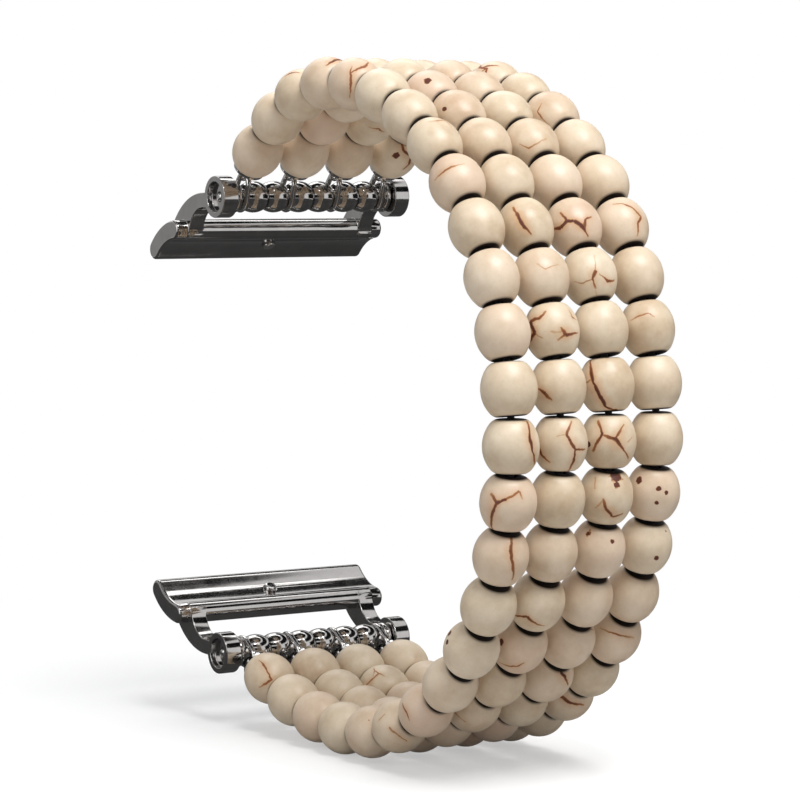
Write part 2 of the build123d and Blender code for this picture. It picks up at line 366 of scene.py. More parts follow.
def vein_group():
    """One vein segment: its line data gives the distance aside, the distance inside its ends and its tone."""
    tree, given, out = group_tree(
        "stone_vein",
        [("Line", "NodeSocketVector", None), ("Wander", "NodeSocketFloat", 0.0),
         ("Width", "NodeSocketFloat", 0.04)],
        [("Tone", "NodeSocketFloat"), ("Halo", "NodeSocketFloat")])
    split = add(tree, "ShaderNodeSeparateXYZ")
    tree.links.new(given.outputs["Line"], split.inputs[0])
    aside = calc(tree, "ABSOLUTE", calc(tree, "ADD", split.outputs[0], given.outputs["Wander"]))
    spread = calc(tree, "MULTIPLY_ADD", split.outputs[2], TONE_WIDTH_SHARE, FAINT_WIDTH_SHARE)
    width = calc(tree, "MULTIPLY", given.outputs["Width"], spread)
    inside = calc(tree, "MULTIPLY_ADD", split.outputs[1], VEIN_END_FADE, 1.0, clamp=True)
    shown = calc(tree, "MULTIPLY", inside, split.outputs[2])
    near_inside = calc(tree, "MULTIPLY_ADD", split.outputs[1], HALO_END_FADE, 1.0, clamp=True)
    near_shown = calc(tree, "MULTIPLY", near_inside, split.outputs[2])
    core = calc(tree, "SUBTRACT", 1.0, calc(tree, "DIVIDE", aside, width))
    core = calc(tree, "MULTIPLY", core, VEIN_SIDE_FADE, clamp=True)
    tree.links.new(calc(tree, "MULTIPLY", core, shown), out.inputs["Tone"])
    wide = calc(tree, "MULTIPLY", width, HALO_WIDTHS)
    halo = calc(tree, "SUBTRACT", 1.0, calc(tree, "DIVIDE", aside, wide), clamp=True)
    tree.links.new(calc(tree, "MULTIPLY", halo, near_shown), out.inputs["Halo"])
    return tree


def stain_group():
    """One dark stain: its data is the place from the stain's middle, in its own radii."""
    tree, given, out = group_tree(
        "stone_stain",
        [("Spot", "NodeSocketVector", None), ("Wander", "NodeSocketFloat", 0.0)],
        [("Tone", "NodeSocketFloat")])
    reach = add(tree, "ShaderNodeVectorMath", operation="LENGTH")
    tree.links.new(given.outputs["Spot"], reach.inputs[0])
    ragged = calc(tree, "ADD", reach.outputs["Value"], given.outputs["Wander"])
    tone = calc(tree, "MULTIPLY", calc(tree, "SUBTRACT", 1.0, ragged), STAIN_SIDE_FADE, clamp=True)
    tree.links.new(tone, out.inputs["Tone"])
    return tree


def noise_about_zero(tree, place, scale, reach):
    """Noise between minus and plus its reach, or nearly."""
    made = add(tree, "ShaderNodeTexNoise", inputs={"Scale": scale, "Detail": 2.0, "Roughness": 0.55})
    tree.links.new(place, made.inputs["Vector"])
    return calc(tree, "MULTIPLY", calc(tree, "SUBTRACT", made.outputs["Fac"], 0.5), 4 * reach)


def polished_stone(vein, stain):
    """Cream stone with clouds, fine grain, brown veins and stains, and painted shade on the bored ends."""
    material = bpy.data.materials.new("polished_stone")
    tree, shader = node_tree(material)
    place = add(tree, "ShaderNodeAttribute", attribute_name="stone_place").outputs["Vector"]
    traits = add(tree, "ShaderNodeAttribute", attribute_name="stone_traits")
    split = add(tree, "ShaderNodeSeparateXYZ")
    tree.links.new(traits.outputs["Vector"], split.inputs[0])
    tone_and_light, pinkness, gap_shade = split.outputs[0], split.outputs[1], split.outputs[2]
    cloud = add(tree, "ShaderNodeTexNoise", inputs={"Scale": 0.9, "Detail": 5.0, "Roughness": 0.6})
    tree.links.new(place, cloud.inputs["Vector"])
    # shifts the clouds by each bead's tone: random own tone, and painted light from above on the listed beads
    toned = calc(tree, "ADD", cloud.outputs["Fac"], tone_and_light)
    body = ramp(tree, toned, [(0.25, STONE_DARK), (0.5, STONE_MIDDLE), (0.75, STONE_LIGHT)])
    blush = add(tree, "ShaderNodeTexNoise", inputs={"Scale": 0.6, "Detail": 2.0})
    tree.links.new(place, blush.inputs["Vector"])
    body = mix(tree, calc(tree, "MULTIPLY", blush.outputs["Fac"], pinkness), body, STONE_BLUSH)
    fine = add(tree, "ShaderNodeTexNoise", inputs={"Scale": 14.0, "Detail": 4.0, "Roughness": 0.7})
    tree.links.new(place, fine.inputs["Vector"])
    body = mix(tree, ramp(tree, fine.outputs["Fac"], [(0.55, grey(0)), (0.8, grey(0.4))]),
               body, STONE_GRAIN)
    wander = noise_about_zero(tree, place, 3.2, 0.035)
    swell = calc(tree, "ADD", 1.0, noise_about_zero(tree, place, 2.3, 0.55))
    width = calc(tree, "MULTIPLY", calc(tree, "MAXIMUM", swell, 0.35), VEIN_WIDTH)
    lines, halo = 0.0, 0.0
    for number in range(VEINS):
        data = add(tree, "ShaderNodeAttribute", attribute_name=f"vein_{number}").outputs["Vector"]
        one = place_group(tree, vein, Line=data, Wander=wander, Width=width)
        lines = calc(tree, "MAXIMUM", lines, one.outputs["Tone"])
        halo = calc(tree, "MAXIMUM", halo, one.outputs["Halo"])
    ragged = noise_about_zero(tree, place, 7.0, 0.3)
    for number in range(STAINS):
        data = add(tree, "ShaderNodeAttribute", attribute_name=f"stain_{number}").outputs["Vector"]
        one = place_group(tree, stain, Spot=data, Wander=ragged)
        lines = calc(tree, "MAXIMUM", lines, one.outputs["Tone"])
    body = mix(tree, calc(tree, "MULTIPLY", halo, HALO_COVER), body, VEIN_HALO)
    patch = calc(tree, "MULTIPLY_ADD", fine.outputs["Fac"], 0.5, 0.75)
    lines = calc(tree, "MULTIPLY", lines, patch, clamp=True)
    filled = ramp(tree, lines, [(0.1, VEIN_OCHRE), (0.5, VEIN_BROWN), (0.85, VEIN_DARK)])
    body = mix(tree, calc(tree, "MULTIPLY", lines, VEIN_COVER, clamp=True), body, filled)
    # painted shade darkens the bead ends and bores, and makes them rougher below
    body = mix(tree, gap_shade, body, GAP_SHADE_COLOUR)
    tree.links.new(body, shader.inputs["Base Color"])
    gloss = ramp(tree, cloud.outputs["Fac"], [(0.3, grey(0.36)), (0.7, grey(0.48))])
    gloss = mix(tree, calc(tree, "MAXIMUM", lines, gap_shade), gloss, grey(0.75))
    tree.links.new(gloss, shader.inputs["Roughness"])
    shader.inputs["Coat Weight"].default_value = 0.2
    shader.inputs["Coat Roughness"].default_value = 0.25
    height = calc(tree, "MULTIPLY", fine.outputs["Fac"], 0.25)
    height = calc(tree, "SUBTRACT", height, lines)
    bump = add(tree, "ShaderNodeBump", inputs={"Strength": 0.3, "Distance": 0.04 * MM})
    tree.links.new(height, bump.inputs["Height"])
    tree.links.new(bump.outputs[0], shader.inputs["Normal"])
    return material


def wear_group():
    """Smudges and fine scratches of handled polished metal, over the object's own place."""
    tree, given, out = group_tree(
        "metal_wear",
        [("Size", "NodeSocketFloat", 1.0)],
        [("Smudge", "NodeSocketFloat"), ("Scratch", "NodeSocketFloat")])
    place = add(tree, "ShaderNodeTexCoord").outputs["Object"]
    smudge = add(tree, "ShaderNodeTexNoise", inputs={"Scale": 420.0, "Detail": 4.0, "Roughness": 0.65})
    tree.links.new(place, smudge.inputs["Vector"])
    stretch = add(tree, "ShaderNodeMapping", inputs={"Scale": (300.0, 4200.0, 4200.0)})
    tree.links.new(place, stretch.inputs["Vector"])
    scratch = add(tree, "ShaderNodeTexNoise", inputs={"Detail": 3.0, "Roughness": 0.7})
    tree.links.new(stretch.outputs[0], scratch.inputs["Vector"])
    tree.links.new(given.outputs["Size"], scratch.inputs["Scale"])
    tree.links.new(smudge.outputs["Fac"], out.inputs["Smudge"])
    tree.links.new(scratch.outputs["Fac"], out.inputs["Scratch"])
    return tree


def polished_metal(name, wear, dark, light, low, high, scratch):
    """Polished metal between two tones and two roughnesses, with scratches of a given depth."""
    material = bpy.data.materials.new(name)
    tree, shader = node_tree(material)
    marks = place_group(tree, wear, Size=1.0)
    shader.inputs["Metallic"].default_value = 1.0
    tone = ramp(tree, marks.outputs["Smudge"], [(0.35, dark), (0.65, light)])
    tree.links.new(tone, shader.inputs["Base Color"])
    rough = ramp(tree, marks.outputs["Smudge"], [(0.35, grey(low)), (0.7, grey(high))])
    tree.links.new(rough, shader.inputs["Roughness"])
    bump = add(tree, "ShaderNodeBump", inputs={"Strength": 0.25, "Distance": scratch})
    tree.links.new(marks.outputs["Scratch"], bump.inputs["Height"])
    tree.links.new(bump.outputs[0], shader.inputs["Normal"])
    return material


def elastic_cord():
    """Dark cord with the fine slanting threads of its cover."""
    material = bpy.data.materials.new("elastic_cord")
    tree, shader = node_tree(material)
    place = add(tree, "ShaderNodeTexCoord").outputs["Object"]
    threads = add(tree, "ShaderNodeTexWave", bands_direction="DIAGONAL",
                  inputs={"Scale": 2600.0, "Distortion": 0.6, "Detail": 1.0})
    tree.links.new(place, threads.inputs["Vector"])
    colour = ramp(tree, threads.outputs["Fac"], [(0.2, CORD_DARK), (0.8, CORD_LIGHT)])
    tree.links.new(colour, shader.inputs["Base Color"])
    shader.inputs["Roughness"].default_value = 0.6
    bump = add(tree, "ShaderNodeBump", inputs={"Strength": 0.5, "Distance": 0.03 * MM})
    tree.links.new(threads.outputs["Fac"], bump.inputs["Height"])
    tree.links.new(bump.outputs[0], shader.inputs["Normal"])
    return material


wear = wear_group()
stone = polished_stone(vein_group(), stain_group())
dark_steel = polished_metal(
    "dark_steel", wear, dark=(0.46, 0.445, 0.435, 1), light=(0.52, 0.505, 0.495, 1),
    low=0.08, high=0.14, scratch=0.003 * MM)
bright_steel = polished_metal(
    "bright_steel", wear, dark=(0.62, 0.605, 0.595, 1), light=(0.70, 0.685, 0.675, 1),
    low=0.07, high=0.13, scratch=0.002 * MM)
spring_steel = polished_metal(
    "spring_steel", wear, dark=(0.40, 0.39, 0.38, 1), light=(0.48, 0.47, 0.46, 1),
    low=0.2, high=0.3, scratch=0.004 * MM)
cord_cover = elastic_cord()


# Beads

def bead_profile():
    """Closed outline of a bead in (radius, height): bore, chamfers, flats, shoulders and round side."""
    edge, end = BEAD_FLAT_RADIUS, BEAD_HALF_LENGTH
    shoulder, height = BEAD_RADIUS * SHOULDER_RADIUS_SHARE, end * SHOULDER_HEIGHT_SHARE
    drop = BEAD_RADIUS - shoulder
    side_radius = (drop**2 + height**2) / (2 * drop)
    turn = asin(height / side_radius)
    lean = (edge - shoulder) * cos(turn) + (end - height) * sin(turn)
    round_radius = -((edge - shoulder) ** 2 + (end - height) ** 2) / (2 * lean)
    middle = (shoulder - round_radius * cos(turn), height - round_radius * sin(turn))
    last = atan2(end - middle[1], edge - middle[0])
    side = arc_points((BEAD_RADIUS - side_radius, 0), side_radius, -turn, turn, SIDE_STEPS)
    upper = arc_points(middle, round_radius, turn, last, SHOULDER_STEPS)[1:-1]
    bore = BEAD_BORE_RADIUS
    upper += [(edge, end - FLAT_ROUND_DEPTH), (edge - FLAT_ROUND, end), (bore + BORE_CHAMFER, end),
              (bore + BORE_CHAMFER / 4, end - BORE_CHAMFER / 3), (bore, end - BORE_CHAMFER)]
    lower = [(radius, -height) for radius, height in reversed(upper)]
    return side + upper + [(bore, end / 2), (bore, 0), (bore, -end / 2)] + lower


# Marks drawn on the beads that face the camera, as (row, column). Each line is a tone and its
# points, to the right and up from the bead's middle in bead radii. Each stain has a radius too.
LINES = {
    (1, 9): [(0.5, (-0.79, 0.12), (-0.44, 0.47), (0.26, 0.70))],
    (1, 14): [(0.9, (0.49, 0.80), (0.61, 0.31), (0.73, -0.12), (0.76, -0.61)),
              (0.4, (0.21, 0.86), (0.52, 0.76))],
    (1, 15): [(0.8, (-0.58, 0.31), (-0.40, -0.03), (-0.06, 0.12)),
              (0.45, (-0.06, 0.12), (0.37, 0.37), (0.49, 0.12)),
              (0.75, (-0.40, -0.03), (-0.52, -0.37), (-0.43, -0.92))],
    (1, 16): [(0.75, (0.31, 0.80), (0.34, 0.12), (0.40, -0.80))],
    (1, 20): [(0.6, (-0.88, 0.24), (-0.71, -0.12), (-0.60, -0.40))],
    (1, 21): [(0.85, (-0.36, -0.06), (0.24, -0.53)), (0.65, (-0.76, 0.18), (-0.53, 0.41))],
    (2, 10): [(0.85, (-0.43, 0.73), (-0.22, 0.35), (-0.03, 0.0), (0.19, -0.22))],
    (2, 11): [(0.3, (-0.16, 0.49), (0.16, 0.30), (0.60, 0.49))],
    (2, 12): [(0.7, (-0.19, 0.68), (-0.43, 0.43), (-0.76, 0.35)),
              (0.85, (-0.76, 0.35), (-0.60, -0.05), (-0.79, -0.6)),
              (0.6, (-0.60, -0.08), (-0.33, -0.22)), (0.5, (-0.05, -0.03), (0.42, 0.0)),
              (0.85, (0.30, 0.14), (0.49, -0.11), (0.92, -0.05)), (0.6, (0.49, -0.11), (0.19, -0.30)),
              (0.4, (0.60, 0.72), (0.71, 0.49), (0.90, 0.38))],
    (2, 13): [(0.85, (-0.71, -0.03), (-0.52, -0.19), (-0.22, -0.46))],
    (2, 14): [(0.75, (0.37, 0.73), (0.21, 0.28), (0.52, -0.21), (0.46, -0.58), (0.24, -0.90)),
              (0.5, (0.21, 0.31), (-0.12, 0.24)), (0.8, (0.52, -0.21), (0.89, -0.21)),
              (0.75, (-0.73, 0.09), (-0.67, -0.40), (-0.34, -0.64))],
    (2, 17): [(0.75, (-0.86, -0.43), (-0.37, -0.55), (0.24, -0.86))],
    (2, 18): [(0.55, (-0.75, -0.61), (-0.09, -0.80), (0.15, -0.67))],
    (2, 20): [(0.7, (-0.70, -0.30), (-0.30, -0.62))],
    (3, 5): [(0.5, (-0.30, 0.50), (0.10, 0.20))],
    (3, 8): [(0.4, (-0.41, 0.12), (-0.09, -0.06), (0.53, 0.29))],
    (3, 10): [(0.9, (-0.82, -0.05), (-0.46, 0.0), (-0.24, 0.24), (0.0, 0.24), (0.35, 0.0), (0.46, -0.30)),
              (0.85, (-0.49, 0.54), (-0.24, 0.24)), (0.7, (0.35, 0.0), (0.43, 0.30), (0.62, 0.41))],
    (3, 11): [(0.7, (0.22, 0.24), (0.08, -0.05), (0.22, -0.38)),
              (0.35, (0.08, -0.05), (-0.22, -0.22), (-0.54, -0.16)),
              (0.3, (0.22, 0.24), (0.16, 0.76)), (0.7, (0.35, 0.11), (0.65, -0.16), (0.87, -0.11)),
              (0.3, (0.22, -0.43), (0.27, -0.76))],
    (3, 13): [(0.95, (-0.52, 0.80), (-0.52, 0.27), (-0.30, -0.27), (-0.03, -0.71), (0.30, -0.84)),
              (0.8, (-0.52, 0.19), (-0.79, 0.05))],
    (3, 14): [(0.9, (-0.34, 0.67), (-0.21, 0.24), (-0.55, -0.37)),
              (0.9, (-0.21, 0.21), (0.24, 0.06), (0.67, -0.61)),
              (0.75, (0.24, 0.06), (0.52, 0.55)), (0.5, (0.83, 0.12), (0.67, -0.06))],
    (3, 15): [(0.6, (-0.34, 0.61), (-0.37, 0.24)), (0.6, (-0.06, -0.18), (-0.37, -0.43)),
              (0.75, (-0.06, -0.09), (0.0, -0.43), (0.24, -0.70), (0.61, -0.61))],
    (3, 16): [(0.9, (-0.24, 0.61), (-0.37, 0.40))],
    (3, 18): [(0.6, (0.31, 0.37), (0.86, 0.31))],
    (3, 19): [(0.9, (0.30, 0.50), (0.55, 0.0), (0.80, -0.40))],
    (4, 7): [(0.5, (-0.38, 0.59), (-0.53, 0.29), (-0.12, -0.18))],
    (4, 10): [(0.45, (-0.30, 0.79), (0.11, 0.82), (0.43, 0.68), (0.73, 0.35)),
              (0.6, (0.73, 0.35), (0.60, 0.14), (0.54, -0.30))],
    (4, 12): [(0.4, (-0.62, 0.27), (-0.38, 0.41), (0.05, 0.52), (0.27, 0.41))],
    (4, 18): [(0.5, (-0.52, 0.24), (0.09, 0.0), (0.70, -0.12))],
    (4, 20): [(0.8, (-0.50, 0.10), (0.10, -0.30), (0.60, -0.40))],
}
SPOTS = {
    (1, 18): [(-0.76, 0.55, 0.13), (-0.85, 0.24, 0.11)],
    (1, 22): [(-0.10, 0.38, 0.09)],
    (2, 7): [(-0.50, 0.32, 0.10)],
    (2, 18): [(-0.70, 0.06, 0.15)],
    (3, 13): [(0.27, -0.82, 0.13)],
    (3, 14): [(-0.70, -0.12, 0.12)],
    (3, 15): [(0.34, 0.64, 0.27), (0.40, 0.38, 0.15)],
    (3, 16): [(0.49, 0.24, 0.10), (-0.31, 0.50, 0.12)],
    (4, 8): [(0.03, -0.32, 0.07), (0.70, -0.38, 0.09)],
    (4, 15): [(-0.49, 0.43, 0.15), (0.21, 0.15, 0.11), (0.49, 0.0, 0.09), (0.15, -0.37, 0.09)],
    (4, 16): [(0.70, 0.46, 0.09), (0.43, -0.49, 0.12)],
}

# Beads that face the camera and have no mark
PLAIN = [(1, 10), (1, 11), (1, 12), (1, 13), (1, 17), (1, 19), (2, 8), (2, 9), (2, 15), (2, 16),
         (3, 9), (3, 12), (3, 17), (4, 9), (4, 11), (4, 13), (4, 14), (4, 17)]

# Beads that are lighter or darker than most: their own tone, plus painted light that makes the listed beads
# above the band's middle lighter and those below it darker
TONE_AND_TOP_LIGHT = {
    (1, 11): 0.14, (2, 11): 0.05, (2, 15): -0.05, (2, 16): -0.05,
    (3, 9): 0.10, (4, 11): 0.03, (4, 14): -0.04,
}


def towards_camera(place):
    """Right, up and back directions at a place, as the camera sees it."""
    back = (camera_place - place).normalized()
    right = Vector((cos(radians(AZIMUTH)), sin(radians(AZIMUTH)), 0))
    right = (right - back * right.dot(back)).normalized()
    return right, back.cross(right), back


def seen_direction(stand, right_share, up_share):
    """Direction in a bead's own frame of a mark seen at shares of its radius from its middle."""
    right, up, back = towards_camera(stand.translation)
    depth = sqrt(max(0.0, 1 - right_share**2 - up_share**2))
    world = right * right_share + up * up_share + back * depth
    return (stand.to_3x3().transposed() @ world).normalized()


def any_way(draw):
    """Vector that points anywhere."""
    return Vector((draw.gauss(0, 1), draw.gauss(0, 1), draw.gauss(0, 1)))


def random_lines(draw):
    """A branching vein at a random place of a bead, as tones and lists of directions."""
    lines = []
    start = any_way(draw).normalized()
    heading = any_way(draw)
    tone = draw.uniform(*VEIN_TONES)
    for _ in range(draw.choice((1, 2, 3))):
        points = [start]
        for _ in range(draw.choice((2, 3))):
            heading = heading + any_way(draw) * VEIN_TURN_SHARE
            step = (heading - points[-1] * heading.dot(points[-1])).normalized()
            points.append((points[-1] + step * draw.uniform(*VEIN_STEPS)).normalized())
        lines.append((tone, points))
        start = points[draw.randint(0, 1)]
        heading = heading.cross(start) * draw.choice((-1, 1))
    return lines


def bead_marks(row, column, stand, draw):
    """Vein lines and stains of a bead, in its own frame."""
    key = (row, column)
    drawn = key in LINES or key in SPOTS or key in PLAIN
    lines = []
    for tone, *points in LINES.get(key, []):
        lines.append((tone, [seen_direction(stand, *point) for point in points]))
    spots = [(seen_direction(stand, *place), radius) for *place, radius in SPOTS.get(key, [])]
    if not drawn and draw.random() < VEINED_SHARE:
        lines = random_lines(draw)
    if not drawn and draw.random() < STAINED_SHARE:
        spots = [(any_way(draw).normalized(), draw.uniform(*STAIN_RADII))]
    return lines, spots


def vein_data(tones, start, end, point):
    """What the vein group needs at a point: distance aside, distance inside the ends, tone."""
    middle = (start + end).normalized()
    half = start.angle(end) / 2
    aside = start.cross(end).normalized()
    share = min(1.0, max(0.0, 0.5 + point.normalized().dot(aside.cross(middle)) / (2 * sin(half))))
    tone = tones[0] + (tones[1] - tones[0]) * share
    return point.dot(aside), (point.normalized().dot(middle) - cos(half)) / sin(half), tone


def no_vein(_):
    return FAR_OFF, -FAR_OFF, 0.0


def stain_data(middle, radius, point):
    """What the stain group needs at a point: its place from the middle, in radii."""
    return (point - middle) / radius


def no_stain(_):
    return FAR_OFF, FAR_OFF, FAR_OFF


def faded(lines, tone, place):
    """A vein's tone at one of its points, less where it ends by itself."""
    met = sum(place in points for _, points in lines)
    inner = any(place in points[1:-1] for _, points in lines)
    return tone if inner or met > 1 else tone * VEIN_END_SHARE


def mark_layers(lines, spots):
    """One function of a bead's own point for each vein and stain layer."""
    segments = []
    for tone, points in lines:
        tones = [faded(lines, tone, place) for place in points]
        segments += list(zip(zip(tones, tones[1:]), points, points[1:]))
    segments = segments[:VEINS]
    veins = [lambda point, data=data: vein_data(*data, point) for data in segments]
    veins += [no_vein] * (VEINS - len(veins))
    stains = [lambda point, data=data: stain_data(*data, point) for data in spots[:STAINS]]
    stains += [no_stain] * (STAINS - len(stains))
    return veins + stains


def painted_gap_shade(radius, height):
    """Painted shade: one on a bead's flats and in its bore, fading to zero on its polished shoulders."""
    if radius < GAP_SHADE_BORE_SHARE * BEAD_BORE_RADIUS:
        return 1.0
    if abs(height) < GAP_SHADE_HEIGHT_SHARE * BEAD_HALF_LENGTH:
        return 0.0
    return min(1.0, max(0.0, (GAP_SHADE_RADIUS - radius) / (GAP_SHADE_RADIUS - BEAD_FLAT_RADIUS)))


def write_vectors(mesh, name, values):
    """One vector at each point of a mesh, for the material to read by name."""
    data = mesh.attributes.new(name, "FLOAT_VECTOR", "POINT")
    data.data.foreach_set("vector", [number for value in values for number in value])


def make_column(number):
    """The four beads of a column, each turned, tilted and shaped a little by itself."""
    centre, along = bead_place(number)
    points, faces, places, traits = [], [], [], []
    layers = [[] for _ in LAYERS]
    turned_points, turned_faces = lathe(bead_profile(), BEAD_SEGMENTS)
    for row, across in enumerate(row_places, start=1):
        draw = random.Random(100 * row + number)
        stand = along_frame(centre + ACROSS * across, along)
        tilt = Matrix.Rotation(draw.uniform(-BEAD_TILT, BEAD_TILT), 4, "X")
        offset = Vector([draw.uniform(-PATTERN_SPREAD, PATTERN_SPREAD) for _ in range(3)])
        # own tone at random, or the listed value, which holds painted light from above
        tone_and_light = TONE_AND_TOP_LIGHT.get((row, number), draw.uniform(-LIGHTNESS_SPREAD, LIGHTNESS_SPREAD))
        pinkness = MOST_PINKNESS * draw.random() ** 2
        size = draw.uniform(*BEAD_SIZE_SHARES)
        shape = Matrix.Diagonal((size, size, BEAD_LENGTH_SHARE, 1))
        marks = mark_layers(*bead_marks(row, number, stand, draw))
        start = len(points)
        for point in turned_points:
            local = point / BEAD_RADIUS
            swell = 1 + BEAD_SWELL_SHARE * noise.noise(local * BEAD_SWELL_SCALE + offset)
            places.append(local + offset)
            # the third trait is painted shade on the flats and in the bore
            traits.append((tone_and_light, pinkness, painted_gap_shade(hypot(point.x, point.y), point.z)))
            for layer, mark in zip(layers, marks):
                layer.append(mark(local))
            points.append(stand @ tilt @ shape @ (point * swell))
        faces += [tuple(start + corner for corner in face) for face in turned_faces]
    mesh = mesh_from(f"stone_beads_{number:02d}", points, faces)
    write_vectors(mesh, "stone_place", places)
    write_vectors(mesh, "stone_traits", traits)
    for name, layer in zip(LAYERS, layers):
        write_vectors(mesh, name, layer)
    made = new_object(f"stone_beads_{number:02d}", mesh, stone)
    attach(made, column_name(number))
    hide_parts(column_name(number))


for number in range(1, COLUMNS + 1):
    make_column(number)


# Elastic cord: a short length in each gap, curved round the gap's pivot from one column into the next

def cord_length(name, start, pivot, finish):
    """Four cord lengths from start to finish round the pivot, one for each row."""
    points, faces = [], []
    steps, sides = CORD_STEPS, CORD_SIDES
    for across in row_places:
        first = len(points)
        for step in range(steps + 1):
            share = step / steps
            near = start.lerp(pivot, share)
            far = pivot.lerp(finish, share)
            middle = near.lerp(far, share)
            along = (far - near).normalized()
            stand = along_frame(middle + ACROSS * across, along)
            for side in range(sides):
                angle = 2 * pi * side / sides
                points.append(stand @ Vector((CORD_RADIUS * cos(angle), CORD_RADIUS * sin(angle), 0)))
        for step in range(steps):
            for side in range(sides):
                here = first + step * sides + side
                there = first + step * sides + (side + 1) % sides
                faces.append((here, there, there + sides, here + sides))
        faces.append(tuple(first + side for side in reversed(range(sides))))
        faces.append(tuple(first + steps * sides + side for side in range(sides)))
    return new_object(name, mesh_from(name, points, faces), cord_cover)


for number in range(1, COLUMNS):
    pivot = gap_pivot(number)
    before = bead_place(number)[1]
    after = bead_place(number + 1)[1]
    start = pivot - before * CORD_REACH
    finish = pivot + after * CORD_REACH
    length = cord_length(f"cord_gap_{number:02d}", start, pivot, finish)
    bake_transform(length)
    if number <= ROWS:
        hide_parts(f"elastic_cord_{number}")


# Metal parts: most keep their solids and get their finish here

def finish_node(name, material):
    node = frame["nodes"][name]
    node.data.materials.clear()
    node.data.materials.append(material)


def solid_copy(name):
    """The mesh of a solid to work on, with its points joined."""
    shape = bmesh.new()
    shape.from_mesh(frame["nodes"][name].data)
    bmesh.ops.remove_doubles(shape, verts=shape.verts, dist=JOINED_WITHIN)
    return shape


def mesh_of(shape, name):
    mesh = bpy.data.meshes.new(name)
    shape.to_mesh(mesh)
    shape.free()
    return mesh


def round_casting(name):
    """An adapter as its solid is, with small rounds on its edges, which catch the light."""
    shape = solid_copy(name)
    bmesh.ops.dissolve_limit(shape, angle_limit=FLAT_WITHIN, verts=shape.verts, edges=shape.edges)
    sharp = [edge for edge in shape.edges if edge.is_manifold and edge.calc_face_angle() > SHARP_FROM]
    bmesh.ops.bevel(shape, geom=sharp, offset=EDGE_ROUND, segments=EDGE_STEPS, profile=0.5,
                    affect="EDGES", clamp_overlap=False)
    mesh = mesh_of(shape, f"{name}_casting")
    mesh.shade_smooth()
    casting = new_object(f"{name}_casting", mesh, dark_steel)
    casting.modifiers.new("flat_faces", "WEIGHTED_NORMAL").mode = "FACE_AREA"
    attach(casting, name)
    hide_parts(name)


def closing_spring(name, node, slide, cut=False):
    """A coil, or half of one cut across its slide's axis, in spring steel where its solid stands."""
    press = slide_axes[slide]
    shape = solid_copy(node)
    if cut:
        parts = list(shape.verts) + list(shape.edges) + list(shape.faces)
        bmesh.ops.bisect_plane(shape, geom=parts, plane_co=(0, 0, 0), plane_no=press, clear_outer=True)
        bmesh.ops.holes_fill(shape, edges=[edge for edge in shape.edges if edge.is_boundary])
    mesh = mesh_of(shape, name)
    mesh.set_sharp_from_angle(angle=SHARP_FROM)
    coil = new_object(name, mesh, spring_steel)
    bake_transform(coil)
    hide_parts(node)


BRIGHT_PARTS = ["spring_bar_tube", "spring_bar_tip_left", "spring_bar_tip_right", "cord_rings",
                "end_caps", "lock_button"]
slide_axes = {joint["name"]: Vector(joint["axis"]) for joint in frame["joints"] if joint["type"] == "slide"}
for end in ("upper", "lower"):
    for side in ("left", "right"):
        closing_spring(f"{end}_spring_{side}_half", f"{end}_spring_bar_spring",
                       f"{end}_tip_{side}_slide", cut=True)
    closing_spring(f"{end}_lock_coil", f"{end}_lock_spring",
                   f"{end}_lock_button_press")
    round_casting(f"{end}_adapter")
    finish_node(f"{end}_bar_spacers", dark_steel)
    for part in BRIGHT_PARTS:
        finish_node(f"{end}_{part}", bright_steel)


# Floor, light and camera

def seen_directly(tree):
    """One for what the camera sees, also in gloss and through glass, and else zero."""
    path = add(tree, "ShaderNodeLightPath")
    seen = calc(tree, "MAXIMUM", path.outputs["Is Camera Ray"], path.outputs["Is Glossy Ray"])
    return calc(tree, "MAXIMUM", seen, path.outputs["Is Transmission Ray"])


def make_world():
    """Soft room light on the band, and white where the camera sees past it."""
    world = bpy.data.worlds.new("studio")
    bpy.context.scene.world = world
    world.use_nodes = True
    tree = world.node_tree
    lit = tree.nodes["Background"]
    lit.inputs["Color"].default_value = ROOM_COLOUR
    lit.inputs["Strength"].default_value = ROOM_LIGHT
    white = add(tree, "ShaderNodeBackground", inputs={"Color": (1, 1, 1, 1), "Strength": 1.0})
    both = add(tree, "ShaderNodeMixShader")
    tree.links.new(seen_directly(tree), both.inputs[0])
    tree.links.new(lit.outputs[0], both.inputs[1])
    tree.links.new(white.outputs[0], both.inputs[2])
    tree.links.new(both.outputs[0], tree.nodes["World Output"].inputs["Surface"])


